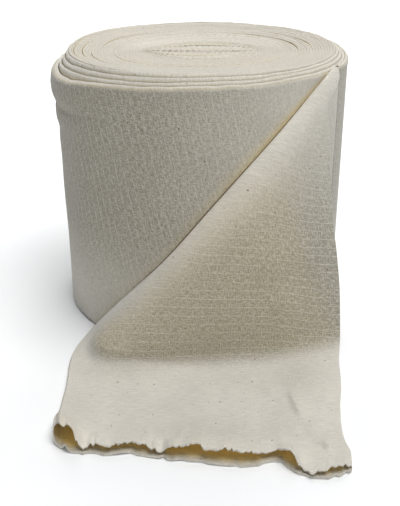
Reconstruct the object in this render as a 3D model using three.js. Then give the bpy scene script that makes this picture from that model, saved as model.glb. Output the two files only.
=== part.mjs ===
// A roll of elasticated tubular bandage. A knitted cotton tube, pressed flat so that it is two plies
// thick, is wound on itself without a core and stands on its end. Its loose end comes round the right
// side, is folded over on the diagonal, hangs down the front and runs forward along the surface to
// the open, unhemmed mouth of the tube.
//
// Frame: millimetres, +Z up. The origin is the centre of the roll's base, on the surface.
// Angles are in degrees, measured from the front (-Y) towards the right (+X).

import * as THREE from 'three';
import { ParametricGeometry } from 'three/addons/geometries/ParametricGeometry.js';

// Driving sizes
const FLAT_WIDTH = 120; // the tube pressed flat, so the height of the outer turn
const ROLL_RADIUS = 68; // over the outermost turn
const TURN_PITCH = 1.45; // one turn, which is two plies
const ROLL_HEIGHT = 125; // the inner turns stand a little proud of the outer ones
const SHEET_THICKNESS = 2; // the loose end, two relaxed plies
const TAIL_THICKNESS = 1; // the same two plies, pulled tight against the roll
const PLY_THICKNESS = 0.9; // one ply where the tube opens
const CLEARANCE = 0.5; // between the loose end and the roll

// Where the outermost turn ends and the loose end begins, out of sight beside the hanging cloth
const START_ANGLE = 62;
const STEP_ANGLE = 0.5;

// Finish of the facets
const ROUND_SLICES = 80; // around the roll
const ACROSS_STEPS = 22; // across the loose end
const TAIL_STEPS = 16;
const FOLD_STEPS = 4;
const FLAP_STEPS = 30;
const MOUTH_STEPS = 5;

const SMALL_STEP = 0.01; // of a length, for finding which way a line runs

const COTTON = { color: 0xcfc8b8, roughness: 0.95, metalness: 0 };

const radians = THREE.MathUtils.degToRad;
const lerp = THREE.MathUtils.lerp;
const smoothstep = THREE.MathUtils.smoothstep;

// Reads a table of rows: the smooth value of one named column at a place along another
function column(rows, along, name) {
  const places = rows.map((row) => row[along]);
  const values = rows.map((row) => row[name]);
  const curve = new THREE.CubicInterpolant(places, values, 1);
  return (place) => curve.evaluate(THREE.MathUtils.clamp(place, places[0], places.at(-1)))[0];
}

// A point at a radius, an angle from the front and a height
function polar(radius, angle, height) {
  const turned = radians(angle);
  return new THREE.Vector3(radius * Math.sin(turned), -radius * Math.cos(turned), height);
}

// The roll

// How the edges of the outer turns lie, going round from the back: the outermost edge is lowest, and
// it sags and stands off at the left, where the cloth was pinched
const EDGES = [
  { angle: -180, lip: 124.4, rim: 125.6, slack: 0 },
  { angle: -150, lip: 124, rim: 125.5, slack: 0 },
  { angle: -120, lip: 122.4, rim: 125, slack: 0.4 },
  { angle: -90, lip: 119.2, rim: 124.3, slack: 1 },
  { angle: -65, lip: 117.8, rim: 124.2, slack: 0.6 },
  { angle: -40, lip: 118.8, rim: 124.6, slack: 0.1 },
  { angle: 0, lip: 120.3, rim: 125, slack: 0 },
  { angle: 60, lip: 121.2, rim: 125, slack: 0 },
  { angle: 90, lip: 122.4, rim: 125.1, slack: 0 },
  { angle: 120, lip: 123.6, rim: 125.3, slack: 0 },
  { angle: 180, lip: 124.4, rim: 125.6, slack: 0 },
];
const lipHeight = column(EDGES, 'angle', 'lip');
const rimHeight = column(EDGES, 'angle', 'rim');
const slackAt = column(EDGES, 'angle', 'slack');

// The side of the roll, from its foot to the outermost edge: how far the slack cloth stands off
const SIDE = [
  { below: 119, bulge: 0 },
  { below: 29, bulge: 0.4 },
  { below: 21, bulge: 2 },
  { below: 17.6, bulge: -0.2 },
  { below: 13.5, bulge: 2.8 },
  { below: 9, bulge: 3.7 },
  { below: 2, bulge: 2.6 },
];
const SIDE_FOOT = 1.4; // height of the soft rounding at the foot
const FOOT_INSET = 1;
const LIP_TURNS = 3; // outer turns whose edges step down one below the other
const LIP_PLACE = 0.45; // of a turn, from its outside to the crest of its edge
const GROOVE_PLACE = 0.95; // of a turn, from its outside to the groove behind it
const GROOVE_DEPTH = 0.9; // between two of those edges
const GROOVE_SLACK = 0.5; // of the slack at the edge, in the groove behind it

// The top inside those steps is a shallow dish down to the flattened eye of the winding
const DISH = [
  { radius: 60, drop: 0 },
  { radius: 48, drop: 1.3 },
  { radius: 38, drop: 2.5 },
  { radius: 27, drop: 2.9 },
  { radius: 12, drop: 3 },
  { radius: 0, drop: 3 },
];

// The wound outline steps in by one turn where the loose end lies on it
function outlineRadius(turned) {
  return ROLL_RADIUS - (TURN_PITCH * turned) / 360;
}

// Rings of the roll from the centre of the base, up the side and over the top to its centre, each as
// a function of how far round from the start of the outermost turn and of the angle there
function rollRings() {
  const rings = [];
  rings.push(() => ({ radius: 0, height: 0 }));
  rings.push((turned) => ({ radius: outlineRadius(turned) - FOOT_INSET, height: 0 }));
  for (const { below, bulge } of SIDE) {
    rings.push((turned, angle) => ({
      radius: outlineRadius(turned) + bulge * slackAt(angle),
      height: Math.max(SIDE_FOOT, lipHeight(angle) - below),
    }));
  }
  for (let turn = 0; turn <= LIP_TURNS; turn += 1) {
    const share = turn / LIP_TURNS;
    const inset = (turn + LIP_PLACE) * TURN_PITCH;
    const groove = (turn + GROOVE_PLACE) * TURN_PITCH;
    rings.push((turned, angle) => ({
      radius: outlineRadius(turned) - inset + (1 - share) * slackAt(angle),
      height: lerp(lipHeight(angle), rimHeight(angle), share),
    }));
    if (turn < LIP_TURNS) {
      rings.push((turned, angle) => ({
        radius: outlineRadius(turned) - groove + (1 - share) * GROOVE_SLACK * slackAt(angle),
        height: lerp(lipHeight(angle), rimHeight(angle), share) - GROOVE_DEPTH,
      }));
    }
  }
  for (const { radius, drop } of DISH) {
    const level = radius / DISH[0].radius;
    rings.push((turned, angle) => ({
      radius,
      height: lerp(ROLL_HEIGHT, rimHeight(angle), level * level) - drop,
    }));
  }
  return rings;
}

function rollGeometry() {
  const rings = rollRings();
  const slices = ROUND_SLICES + 1;
  const last = rings.length - 1;
  return new ParametricGeometry((around, up, target) => {
    const slice = Math.round(around * slices) % slices;
    const turned = (slice / ROUND_SLICES) * (360 - STEP_ANGLE);
    const angle = THREE.MathUtils.euclideanModulo(START_ANGLE + turned + 180, 360) - 180;
    const { radius, height } = rings[Math.round(up * last)](turned, angle);
    target.copy(polar(radius, angle, height));
  }, slices, last);
}

// The loose end

// The diagonal fold on the roll, by height up the tube's width: its place round the roll, as an
// arc's length from the front
const FOLD_FOOT = 1; // height of the tube's lower edge above the surface
const FOLD_RADIUS = 1.25; // of the middle of the two plies round the fold
const FOLD_LINE = [
  { height: 0, arc: -55 },
  { height: 20, arc: -36.2 },
  { height: 41, arc: -16.2 },
  { height: 72, arc: 9.6 },
  { height: 90, arc: 26.8 },
  { height: 107, arc: 46.2 },
  { height: 114, arc: 56.2 },
  { height: 120, arc: 68 },
];
const foldArc = column(FOLD_LINE, 'height', 'arc');

// The cloth beyond the fold, by section across it from the left edge (0) to the right edge (1): the
// corner where it meets the surface, the size of the bend there, and how full the upper ply is
const FLAP = [
  { across: 0, footX: -59.5, footY: -76, bend: 20, ripple: 0 },
  { across: 0.1, footX: -46, footY: -78, bend: 14, ripple: 0 },
  { across: 0.25, footX: -28, footY: -77, bend: 15, ripple: 0 },
  { across: 0.5, footX: 0, footY: -80, bend: 18, ripple: 0 },
  { across: 0.75, footX: 29, footY: -84, bend: 26, ripple: 0.8 },
  { across: 0.9, footX: 47.5, footY: -82, bend: 32, ripple: 1.6 },
  { across: 1, footX: 60.4, footY: -81, bend: 36, ripple: 0 },
];
const footX = column(FLAP, 'across', 'footX');
const footY = column(FLAP, 'across', 'footY');
const bendSize = column(FLAP, 'across', 'bend');
const rippleSize = column(FLAP, 'across', 'ripple');
const RIPPLE_RISE = [0.35, 0.6]; // shares of the length over which the fullness rises and falls
const RIPPLE_FALL = [0.7, 0.95];
const BEND_LIMIT = 0.7; // of the straight stretch on either side of the bend

// The cut mouth: how far forward its lower ply reaches, how far the upper ply stops short of that,
// how wide the tube gapes between the two, and how far the cut edge is drawn to the right
const MOUTH_LEFT = -56.6;
const MOUTH_RIGHT = 51.2;
const MOUTH = [
  { across: 0, reach: 134.5, short: 1, gape: 6.5, flare: 2.8 },
  { across: 0.05, reach: 138.2, short: 1.5, gape: 6.8, flare: 1.6 },
  { across: 0.1, reach: 140.6, short: 2.5, gape: 2.6, flare: 0.8 },
  { across: 0.2, reach: 141.8, short: 1, gape: 2.4, flare: 0 },
  { across: 0.28, reach: 140.6, short: 0.4, gape: 3.2, flare: 0 },
  { across: 0.38, reach: 143.8, short: 0, gape: 1, flare: 0 },
  { across: 0.46, reach: 144.9, short: 0.4, gape: 4.6, flare: 0 },
  { across: 0.54, reach: 146.8, short: 0.6, gape: 5.6, flare: 0 },
  { across: 0.64, reach: 147.9, short: 0.6, gape: 5.6, flare: 0 },
  { across: 0.73, reach: 146.6, short: 1, gape: 3.4, flare: 0.2 },
  { across: 0.79, reach: 148.2, short: 1, gape: 4.4, flare: 0.5 },
  { across: 0.86, reach: 152.8, short: 1.4, gape: 1, flare: 1 },
  { across: 0.93, reach: 155, short: 0.4, gape: 0.8, flare: 1.6 },
  { across: 1, reach: 151.5, short: 0, gape: 0.6, flare: 2.2 },
];
const mouthReach = column(MOUTH, 'across', 'reach');
const mouthShort = column(MOUTH, 'across', 'short');
const mouthGape = column(MOUTH, 'across', 'gape');
const mouthFlare = column(MOUTH, 'across', 'flare');
const MOUTH_DEPTH = 0.16; // share of each section's length over which the plies are apart
const MOUTH_FULL = 0.06; // the last share of it, over which they are fully apart
const EDGE_ROUNDING = 0.35; // of the cloth's thickness, at the tube's two pressed edges
const INNER_GAP = 0.1; // half of what is left between the plies where they part

// The roll's surface under the loose end, and the two plies lying on it
function tailRadius(angle) {
  return outlineRadius(360 - (START_ANGLE - angle)) + CLEARANCE + TAIL_THICKNESS / 2;
}

function foldAngle(across) {
  const arc = foldArc(across * FLAT_WIDTH);
  return THREE.MathUtils.radToDeg(arc / (ROLL_RADIUS + FOLD_RADIUS));
}

// Outward from the axis, and square to the fold within the roll's surface, up and to the left
function foldDirections(across) {
  const angle = foldAngle(across);
  const before = Math.max(0, across - SMALL_STEP);
  const after = Math.min(1, across + SMALL_STEP);
  const run = foldArc(after * FLAT_WIDTH) - foldArc(before * FLAT_WIDTH);
  const rise = (after - before) * FLAT_WIDTH;
  const outward = polar(1, angle, 0);
  const leftward = polar(1, angle - 90, 0);
  const past = leftward.multiplyScalar(rise).add(new THREE.Vector3(0, 0, run)).normalize();
  return { outward, past };
}

// A point of the middle of the tail: share runs from its start to the fold
function tailPoint(across, share) {
  const start = START_ANGLE - STEP_ANGLE - THREE.MathUtils.radToDeg(CLEARANCE / ROLL_RADIUS);
  const angle = lerp(start, foldAngle(across), share);
  return polar(tailRadius(angle), angle, FOLD_FOOT + across * FLAT_WIDTH);
}

// The middle of the hanging cloth at one section, as a smooth curve from the fold to the mouth
function flapCurve(across) {
  const { outward } = foldDirections(across);
  const start = tailPoint(across, 1).addScaledVector(outward, 2 * FOLD_RADIUS);
  const middle = SHEET_THICKNESS / 2;
  const foot = new THREE.Vector3(footX(across), footY(across), middle);
  const mouth = new THREE.Vector3(lerp(MOUTH_LEFT, MOUTH_RIGHT, across), -mouthReach(across), middle);
  const down = foot.clone().sub(start);
  const along = mouth.clone().sub(foot);
  const straight = Math.min(down.length(), along.length());
  const trim = Math.min(bendSize(across), BEND_LIMIT * straight);
  const bendStart = foot.clone().addScaledVector(down.clone().normalize(), -trim);
  const bendEnd = foot.clone().addScaledVector(along.clone().normalize(), trim);
  const path = new THREE.CurvePath();
  path.add(new THREE.LineCurve3(start, bendStart));
  path.add(new THREE.QuadraticBezierCurve3(bendStart, foot, bendEnd));
  path.add(new THREE.LineCurve3(bendEnd, mouth));
  return path;
}

// The stations along the loose end, from its start to the mouth. Each gives, for one section, a
// point of its middle, the way its thickness runs there, and the cloth each side of the middle.
const sections = Array.from({ length: ACROSS_STEPS + 1 }, (_, step) => step / ACROSS_STEPS);
const flapCurves = sections.map(flapCurve);

function flapMiddle(step, share) {
  return flapCurves[step].getPointAt(THREE.MathUtils.clamp(share, 0, 1));
}

function flapNormal(step, share) {
  const along = flapMiddle(step, share + SMALL_STEP).sub(flapMiddle(step, share - SMALL_STEP));
  const right = flapMiddle(Math.min(step + 1, ACROSS_STEPS), share);
  const left = flapMiddle(Math.max(step - 1, 0), share);
  return right.sub(left).cross(along).normalize().negate();
}

function tailStation(step, share) {
  const across = sections[step];
  const middle = tailPoint(across, share);
  const inward = new THREE.Vector3(-middle.x, -middle.y, 0).normalize();
  return { middle, normal: inward, front: TAIL_THICKNESS / 2, back: TAIL_THICKNESS / 2 };
}

function foldStation(step, share) {
  const across = sections[step];
  const { outward, past } = foldDirections(across);
  const turn = Math.PI * share;
  const normal = outward.clone().multiplyScalar(-Math.cos(turn)).addScaledVector(past, Math.sin(turn));
  const axis = tailPoint(across, 1).addScaledVector(outward, FOLD_RADIUS);
  const half = lerp(TAIL_THICKNESS, SHEET_THICKNESS, share) / 2;
  return { middle: axis.addScaledVector(normal, FOLD_RADIUS), normal, front: half, back: half };
}

function flapStation(step, share) {
  const across = sections[step];
  const middle = flapMiddle(step, share);
  const normal = flapNormal(step, share);
  const open = smoothstep(share, 1 - MOUTH_DEPTH, 1 - MOUTH_FULL);
  const fullness = smoothstep(share, ...RIPPLE_RISE) * (1 - smoothstep(share, ...RIPPLE_FALL));
  const crown = rippleSize(across) * fullness;
  const half = SHEET_THICKNESS / 2;
  const cut = smoothstep(share, 1 - MOUTH_DEPTH, 1);
  middle.x += cut * mouthFlare(across);
  const station = { middle, normal, front: half + crown + open * mouthGape(across), back: half };
  station.shorten = cut * mouthShort(across);
  return station;
}

// A closed loop round the cloth at a station: across its front, round the right edge, back across
// its other side and round the left edge. An inner loop runs inside the opened mouth.
const LOOP_STEPS = 2 * (ACROSS_STEPS + 1) + 2;

function loopPlace(index) {
  if (index <= ACROSS_STEPS) return { step: index, side: 'front' };
  if (index === ACROSS_STEPS + 1) return { step: ACROSS_STEPS, side: 'edge' };
  if (index <= 2 * ACROSS_STEPS + 2) return { step: 2 * ACROSS_STEPS + 2 - index, side: 'back' };
  return { step: 0, side: 'edge' };
}

function outwardAcross(makeStation, share, step) {
  const inner = step === 0 ? 1 : ACROSS_STEPS - 1;
  const edge = makeStation(step, share).middle;
  return edge.clone().sub(makeStation(inner, share).middle).normalize();
}

function loopPoint(makeStation, share, index, inside) {
  const { step, side } = loopPlace(index);
  const station = makeStation(step, share);
  const { middle, normal, front, back } = station;
  const lower = inside ? -INNER_GAP : -back;
  const upper = inside ? Math.max(front - PLY_THICKNESS, INNER_GAP) : front;
  const point = middle.clone();
  const atEdge = step === 0 || step === ACROSS_STEPS;
  if (side === 'front') point.addScaledVector(normal, upper);
  if (side === 'back') point.addScaledVector(normal, lower);
  if (side === 'edge') point.addScaledVector(normal, (upper + lower) / 2);
  if (atEdge) {
    const bulge = side === 'edge' ? EDGE_ROUNDING * (upper - lower) : 0;
    const wall = inside ? PLY_THICKNESS : 0;
    point.addScaledVector(outwardAcross(makeStation, share, step), bulge - wall);
  }
  if (side === 'front' && station.shorten) {
    point.y += station.shorten;
  }
  return point;
}

function looseEndLoops() {
  const loops = [];
  const add = (makeStation, share, inside = false) => loops.push({ makeStation, share, inside });
  for (let step = 0; step < TAIL_STEPS; step += 1) add(tailStation, step / TAIL_STEPS);
  for (let step = 0; step < FOLD_STEPS; step += 1) add(foldStation, step / FOLD_STEPS);
  for (let step = 0; step <= FLAP_STEPS; step += 1) add(flapStation, step / FLAP_STEPS);
  for (let step = 0; step <= MOUTH_STEPS; step += 1) {
    add(flapStation, 1 - (MOUTH_DEPTH * step) / MOUTH_STEPS, true);
  }
  return loops;
}

// The loops joined into one closed body. At each end a last loop is drawn together on its middle
// line, which closes the start of the cloth and the bottom of the opened mouth.
function looseEndGeometry() {
  const loops = looseEndLoops();
  const last = loops.length + 1;
  return new ParametricGeometry((around, along, target) => {
    const index = (LOOP_STEPS - Math.round(around * LOOP_STEPS)) % LOOP_STEPS;
    const place = Math.round(along * last);
    const { makeStation, share, inside } = loops[THREE.MathUtils.clamp(place - 1, 0, last - 2)];
    target.copy(loopPoint(makeStation, share, index, inside));
    if (place === 0 || place === last) {
      const opposite = (2 * ACROSS_STEPS + 2 - index + LOOP_STEPS) % LOOP_STEPS;
      const { side } = loopPlace(index);
      const paired = side === 'edge' ? index : opposite;
      target.lerp(loopPoint(makeStation, share, paired, inside), 0.5);
    }
  }, LOOP_STEPS, last);
}

const roll = new THREE.Group();

function addPiece(name, geometry) {
  const piece = new THREE.Mesh(geometry, new THREE.MeshStandardMaterial(COTTON));
  piece.name = name;
  roll.add(piece);
}

addPiece('wound_roll', rollGeometry());
addPiece('loose_end', looseEndGeometry());

export default roll;
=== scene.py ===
# %% [markdown]
# # A roll of tubular bandage
# This lesson builds the looks of a roll of elasticated tubular bandage round its CAD model. The bandage is
# a knitted cotton tube pressed flat, so every turn of the roll is two plies thick. We start by loading the
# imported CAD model, which fixes where everything is and how big it is. It has two solids, the wound roll
# and the loose end, and each gets one Blender piece that stands for it.

import bmesh
import bpy
import numpy as np
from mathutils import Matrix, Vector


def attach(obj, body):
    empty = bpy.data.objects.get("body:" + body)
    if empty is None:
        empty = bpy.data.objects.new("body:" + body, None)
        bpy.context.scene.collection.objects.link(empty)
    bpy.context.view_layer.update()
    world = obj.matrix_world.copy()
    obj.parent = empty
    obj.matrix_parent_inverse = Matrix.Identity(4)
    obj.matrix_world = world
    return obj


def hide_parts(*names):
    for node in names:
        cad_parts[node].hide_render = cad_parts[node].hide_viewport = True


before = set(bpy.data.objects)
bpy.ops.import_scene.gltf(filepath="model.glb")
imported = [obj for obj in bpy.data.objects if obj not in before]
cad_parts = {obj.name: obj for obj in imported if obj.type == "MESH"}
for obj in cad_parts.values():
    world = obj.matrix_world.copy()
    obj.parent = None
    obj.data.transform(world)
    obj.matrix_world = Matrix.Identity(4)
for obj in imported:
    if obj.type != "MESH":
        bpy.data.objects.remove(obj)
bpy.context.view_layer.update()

MM = 0.001  # metres, the unit of the frame, in one millimetre

# %% [markdown]
# ## The camera
# The photograph looks down at the roll from the front, at about 24 degrees. The camera's place and lens
# were worked out from the ellipse of the roll's top, its foot and its straight sides. Turning it by eye
# would also do, but then the shapes would be bent to suit a wrong camera. It comes first, so that every
# later step is judged from the place of the photograph.

# %% The camera
IMAGE_HEIGHT = 506  # pixels, the long side of the photograph
FOCAL_PIXELS = 832.3
SENSOR = 36.0  # millimetres along the long side
CONTENT_RIGHT = 1.25  # pixels by which the photograph's middle is off to the right
CAMERA_PLACE = (0, -0.394, 0.1976)
CAMERA_TILT = 65.5  # degrees up from straight down

camera = bpy.data.objects.new("camera", bpy.data.cameras.new("camera"))
bpy.context.scene.collection.objects.link(camera)
camera.location = CAMERA_PLACE
camera.rotation_euler = (np.radians(CAMERA_TILT), 0, 0)
camera.data.sensor_width = SENSOR
camera.data.lens = FOCAL_PIXELS * SENSOR / IMAGE_HEIGHT
camera.data.shift_x = -CONTENT_RIGHT / IMAGE_HEIGHT
camera.data.clip_start = 0.01
bpy.context.scene.camera = camera
print("camera lens in mm:", round(camera.data.lens, 1))

# %% [markdown]
# ## Floor and light
# The photograph is a studio picture cut out on white, so the roll stands on a plain pale floor. One big
# soft light hangs overhead, which makes the top brighter than the upright side. A weak one stands
# low in front and reaches into the mouth and round the foot. A third shines on the floor behind
# the roll, so the background stays white, and a pale room fills the shadows. Small lamps would be easier
# to aim, but they throw hard shadows, and the photograph has none.


# %% Floor and light
def linear(hex_colour):
    """An sRGB hex colour as the linear values that Blender's shaders take."""
    parts = [int(hex_colour[i : i + 2], 16) / 255 for i in (1, 3, 5)]
    lit = [p / 12.92 if p <= 0.04045 else ((p + 0.055) / 1.055) ** 2.4 for p in parts]
    return (*lit, 1.0)


FLOOR_HALF = 4  # metres from its middle to its edge
FLOOR_DROP = 0.0002  # metres below the roll, so that the two don't flicker

floor_mesh = bpy.data.meshes.new("floor")
build = bmesh.new()
bmesh.ops.create_grid(build, x_segments=1, y_segments=1, size=FLOOR_HALF)
build.to_mesh(floor_mesh)
build.free()
floor = bpy.data.objects.new("floor", floor_mesh)
bpy.context.scene.collection.objects.link(floor)
floor.location.z = -FLOOR_DROP
floor_paint = bpy.data.materials.new("matt_white_floor")
floor_paint.use_nodes = True
floor_shader = floor_paint.node_tree.nodes["Principled BSDF"]
floor_shader.inputs["Base Color"].default_value = linear("#FBFBFA")
floor_shader.inputs["Roughness"].default_value = 0.9
floor_mesh.materials.append(floor_paint)


def add_light(name, place, aim, size, watts, colour):
    """A square soft light at a place in metres, turned to face a point."""
    data = bpy.data.lights.new(name, "AREA")
    data.size = size
    data.energy = watts
    data.color = linear(colour)[:3]
    lamp = bpy.data.objects.new(name, data)
    bpy.context.scene.collection.objects.link(lamp)
    lamp.location = place
    direction = Vector(aim) - Vector(place)
    lamp.rotation_euler = direction.to_track_quat("-Z", "Y").to_euler()


add_light("overhead", (0.6, -0.4, 2.4), (0, -0.03, 0.06), 1.7, 51.0, "#FFFFFF")
add_light("low_fill", (-0.1, -1.5, 0.16), (0, -0.05, 0.05), 0.8, 4.2, "#FFFFFF")
add_light("behind", (0, 1.6, 1.3), (0, 1.2, 0), 1.6, 26.0, "#FFFFFF")
world = bpy.data.worlds.new("pale_room")
world.use_nodes = True
world.node_tree.nodes["Background"].inputs["Color"].default_value = linear("#DCE6F6")
world.node_tree.nodes["Background"].inputs["Strength"].default_value = 0.19
bpy.context.scene.world = world
bpy.context.scene.view_settings.view_transform = "Standard"

# %% [markdown]
# ## Helpers for cloth
# Soft goods are shaped here: small tables give sizes in millimetres at a few places, and a smooth
# curve runs between them. A seeded random curve adds the small unevenness of real cloth, the same one at
# every run. Sculpting would be quicker to try out, but couldn't be repeated or measured.


# %% Smooth curves and small unevenness
def smooth_curve(places, values, at):
    """Values of a table at other places, on the same kind of smooth curve as the CAD source uses."""
    places = np.array(places, float)
    values = np.array(values, float)
    at = np.clip(np.asarray(at, float), places[0], places[-1])
    here = np.clip(np.searchsorted(places, at, side="right") - 1, 0, len(places) - 2)
    last = len(places) - 2
    t0 = places[here]
    t1 = places[here + 1]
    before = np.where(here > 0, here - 1, here + 1)
    after = np.where(here < last, np.minimum(here + 2, last + 1), here)
    half = (t1 - t0) / 2
    weight_before = half / (t0 - places[before])
    weight_after = half / (places[after] - t1)
    p = (at - t0) / (t1 - t0)
    p2 = p * p
    p3 = p2 * p
    part_before = (-p3 + 2 * p2 - p) * weight_before
    part0 = (1 + weight_before) * p3 + (-1.5 - 2 * weight_before) * p2 + (weight_before - 0.5) * p + 1
    part1 = (-1 - weight_after) * p3 + (1.5 + weight_after) * p2 + 0.5 * p
    part_after = weight_after * (p3 - p2)
    ends = part_before * values[before] + part_after * values[after]
    return ends + part0 * values[here] + part1 * values[here + 1]


def column(rows, along, name, at):
    """Reads one named column of a table at other places along it."""
    return smooth_curve(rows[along], rows[name], at)


def ease(value, low=0.0, high=1.0):
    """Rises smoothly from 0 at low to 1 at high."""
    share = np.clip((np.asarray(value, float) - low) / (high - low), 0, 1)
    return share * share * (3 - 2 * share)


def wander(seed, at, length, size):
    """A smooth random curve: about one hump in each length, about this size."""
    at = np.asarray(at, float)
    start = at.min()
    count = int((at.max() - start) / length) + 6
    knots = np.random.default_rng(seed).normal(0, size, count)
    place = (at - start) / length + 1
    here = place.astype(int)
    p = place - here
    k0, k1, k2, k3 = (knots[here + i] for i in (-1, 0, 1, 2))
    rise = 2 * k1 + (k2 - k0) * p + (2 * k0 - 5 * k1 + 4 * k2 - k3) * p * p
    return 0.5 * (rise + (3 * (k1 - k2) + k3 - k0) * p * p * p)


def polar(radius, angle, height):
    """A point at a radius, at an angle from the front towards the right, and at a height."""
    turned = np.radians(angle)
    parts = (radius * np.sin(turned), -radius * np.cos(turned), height + 0 * turned)
    return np.stack(np.broadcast_arrays(*parts), -1)


def unit(vectors):
    """Vectors of length one."""
    return vectors / np.linalg.norm(vectors, axis=-1, keepdims=True)


def line_distance(points, line):
    """How far each point is from a line of several straight stretches, and how far along it that is."""
    line = np.array(line, float)
    nearest = np.full(points.shape[:-1], np.inf)
    along = np.zeros(points.shape[:-1])
    for number in range(len(line) - 1):
        step = line[number + 1] - line[number]
        share = np.clip((points - line[number]) @ step / (step @ step), 0, 1)
        away = np.linalg.norm(points - line[number] - share[..., None] * step, axis=-1)
        along = np.where(away < nearest, (number + share) / (len(line) - 1), along)
        nearest = np.minimum(nearest, away)
    return nearest, along


def soft_creases(points, creases):
    """The sum of soft ridges and troughs along lines, each fading out towards its ends."""
    total = np.zeros(points.shape[:-1])
    for crease in creases:
        away, along = line_distance(points, crease["line"])
        fade = ease(along, 0, 0.25) * ease(1 - along, 0, 0.25)
        if crease.get("open_end"):
            fade = ease(along, 0, 0.25)
        total += crease["height"] * fade * np.exp(-((away / crease["width"]) ** 2))
    return total


print("a smooth rise is at", float(ease(0.25)), "a quarter of the way, and at", float(ease(0.5)), "halfway")

# %% [markdown]
# ## Closed tubes of cloth
# The bandage is a tube, with an inside and an outside, so each piece is a grid of points rolled up into
# a closed tube. A flat plane with a thickness added would have no mouth to look into. The helper also
# stores on each point where it lies on the cloth, which the pattern of the knit needs later.

# %% Closed tubes of cloth
WELD = 2e-6  # metres within which two points become one


def drawn_together(ring, mirror):
    """The points of a ring, each moved to the middle between it and the one opposite in the cloth."""
    opposite = (mirror - np.arange(len(ring))) % len(ring)
    return (ring + ring[opposite]) / 2


def tube_mesh(rings, cloth, mirror):
    """A closed mesh from rings of points in millimetres. Its two ends are drawn together and welded.

    cloth holds six numbers for each point: the place along and across the cloth, in millimetres, how
    much painted golden light it gets deep in a fold or inside the tube, and how much crinkle and painted
    shade it gets, both about 0 to 1, and then how far it lies beside the diagonal fold, in millimetres,
    and how much painted light that fold throws on it. The first three go into the attribute cloth, and
    the others into a second attribute, for crinkle, shade and the fold's light.
    """
    first = drawn_together(rings[0], mirror)
    last = drawn_together(rings[-1], mirror)
    rings = np.concatenate([first[None], rings, last[None]])
    cloth = np.concatenate([cloth[:1], cloth, cloth[-1:]])
    rings = np.concatenate([rings, rings[:, :1]], 1)
    cloth = np.concatenate([cloth, cloth[:, :1]], 1)
    rows, places = rings.shape[:2]
    build = bmesh.new()
    bmesh.ops.create_grid(build, x_segments=places - 1, y_segments=rows - 1, size=1)
    mesh = bpy.data.meshes.new("cloth")
    build.to_mesh(mesh)
    flat = np.empty(len(mesh.vertices) * 3, np.float32)
    mesh.vertices.foreach_get("co", flat)
    flat = flat.reshape(-1, 3)
    place = np.rint((flat[:, 0] + 1) / 2 * (places - 1)).astype(int)
    row = np.rint((flat[:, 1] + 1) / 2 * (rows - 1)).astype(int)
    mesh.vertices.foreach_set("co", (rings[row, place] * MM).astype(np.float32).ravel())
    scaled = (cloth[row, place] * np.array([MM, MM, 1, 1, MM, 1])).astype(np.float32)
    for name, values in (("cloth", scaled[:, :3]), ("crinkle_shade_and_fold_light", scaled[:, 3:])):
        attribute = mesh.attributes.new(name, "FLOAT_VECTOR", "POINT")
        attribute.data.foreach_set("vector", values.ravel())
    build.clear()
    build.from_mesh(mesh)
    bmesh.ops.remove_doubles(build, verts=build.verts, dist=WELD)
    bmesh.ops.recalc_face_normals(build, faces=build.faces)
    build.to_mesh(mesh)
    build.free()
    return mesh


def make_piece(name, meshes, material, node):
    """Joins meshes to one smooth piece that rides on the frame and stands for a CAD node."""
    build = bmesh.new()
    for mesh in meshes:
        build.from_mesh(mesh)
        bpy.data.meshes.remove(mesh)
    joined = bpy.data.meshes.new(name)
    build.to_mesh(joined)
    build.free()
    joined.polygons.foreach_set("use_smooth", np.ones(len(joined.polygons), bool))
    joined.materials.append(material)
    piece = bpy.data.objects.new(name, joined)
    bpy.context.scene.collection.objects.link(piece)
    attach(piece, "root")
    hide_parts(node)
    triangles = sum(len(face.vertices) - 2 for face in joined.polygons)
    print(name, "has", triangles, "triangles")
    return piece


# %% [markdown]
# ## The knitted cotton
# The cloth is unbleached cotton, rib knitted in a tube on a circular machine, with a covered elastic
# thread laid in every few millimetres. Raw cotton is a warm cream with dark flecks of seed coat. The
# elastic draws the knit together, so the eye sees pale thin lines across the bandage with fine crinkles
# between them, two crossed noises whose hollows get a greyer painted shade. The pattern is laid out in
# real millimetres along and across the cloth, from attributes that the meshes carry, so it follows every
# turn and fold. Upright cloth, on the roll's side and in the hanging end, gets the most crinkle and the
# most painted shade, and cloth that lies on the surface is smooth and pale. Thin cloth lets light
# through, so golden light is painted into the colour deep in a fold, beside one and inside the tube, and
# a dark painted shadow lies beside the fold. A picture of real cloth would bring its own light and shade
# with it.

# %% The knitted cotton material
RIB_PITCH = 3.8  # millimetres between elastic threads
WALE_PITCH = 1.15  # between the fine columns of stitches
FLECK_CELL = 7.5  # one cell of the pattern of seed flecks, of which about a third hold one
# Three of these colours stand in for light: a grey painted shade for the crinkles' hollows, a painted golden
# light that comes through thin cloth, and a dark painted shadow beside the fold.
COTTON = {
    "shaded": "#D6D0C4",
    "pale": "#E3DDD0",
    "hollow_shade": "#918B7A",
    "elastic": "#EFECE4",
    "seed": "#6E5A41",
    "lit through": "#FBE092",
    "shadow under the fold": "#6B563A",
}

knit = bpy.data.materials.new("unbleached_cotton_rib_knit")
knit.use_nodes = True
knit_nodes = knit.node_tree.nodes
knit_links = knit.node_tree.links
knit_shader = knit_nodes["Principled BSDF"]


def add_node(kind, settings=None, **inputs):
    """Adds a node to the knit and fills its inputs, each with a value or with another node's output."""
    node = knit_nodes.new("ShaderNode" + kind)
    for name, value in (settings or {}).items():
        setattr(node, name, value)
    for name, value in inputs.items():
        key = int(name[1:]) if name[0] == "_" else name.replace("_", " ")
        if isinstance(value, bpy.types.NodeSocket):
            knit_links.new(value, node.inputs[key])
        else:
            node.inputs[key].default_value = value
    return node


def calculate(operation, first, second=0.5, third=0.5):
    """One sum on the way to the finished pattern."""
    node = add_node("Math", {"operation": operation}, _0=first, _1=second, _2=third)
    return node.outputs[0]


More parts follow.
